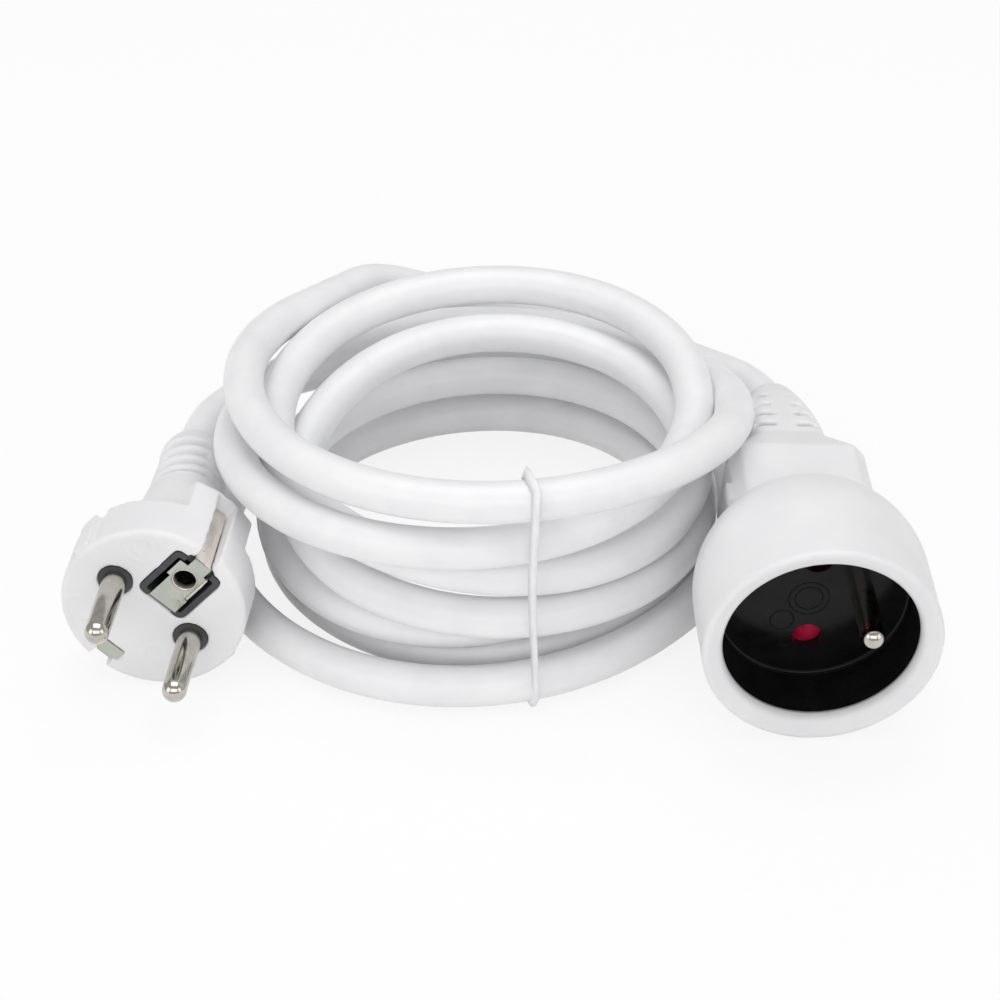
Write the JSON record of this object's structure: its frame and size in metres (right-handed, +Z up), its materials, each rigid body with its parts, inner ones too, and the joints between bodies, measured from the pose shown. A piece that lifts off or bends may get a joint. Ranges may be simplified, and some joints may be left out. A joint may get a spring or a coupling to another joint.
{
  "type": "extension cord",
  "caption": "White extension cord wound in a tied coil, with an earthed two-pin angled-grip plug at one end and a round coupling socket with an earth pin at the other.",
  "frame": {"origin": "on the floor under the middle of the box round the plug, the socket and the tie", "axes": "+X from the plug towards the socket, +Y away from the open faces of plug and socket, +Z up"},
  "size_m": [0.1696, 0.1309, 0.0544],
  "materials": {
    "white_cover": "satin",
    "dark_insert": "satin",
    "nickel_pin": "polished",
    "spring_steel": "satin",
    "brass_contact": "satin",
    "red_shutter": "gloss",
    "brown_core": "satin",
    "blue_core": "satin",
    "earth_core": "satin",
    "cord_jacket": "satin",
    "tie": "satin"
  },
  "bodies": {
    "cord_set": {"plug_cover": "white_cover", "socket_cover": "white_cover", "plug_bridge": "dark_insert", "socket_insert": "dark_insert", "insert_floor": "dark_insert", "insert_back": "dark_insert", "plug_pin_live": "nickel_pin", "plug_pin_neutral": "nickel_pin", "socket_earth_pin": "nickel_pin", "earth_clip": "spring_steel", "earth_sleeve": "spring_steel", "shutter_spring": "spring_steel", "contact_live": "brass_contact", "contact_neutral": "brass_contact", "plug_core_brown": "brown_core", "plug_core_blue": "blue_core", "plug_core_earth": "earth_core", "socket_core_brown": "brown_core", "socket_core_blue": "blue_core", "socket_core_earth": "earth_core", "cord_coil": "cord_jacket", "cord_plug_end": "cord_jacket", "cord_socket_end": "cord_jacket", "cord_tie": "tie"},
    "shutter": {"shutter": "red_shutter"}
  },
  "joints": [
    {"name": "shutter_turn", "type": "hinge", "parent": "cord_set", "child": "shutter", "pos_m": [0.06106, -0.02109, 0.02427], "axis": [0.0453, -0.9979, -0.0471], "range_deg": [0, 42], "stiffness_Nm_per_rad": 0.002}
  ]
}
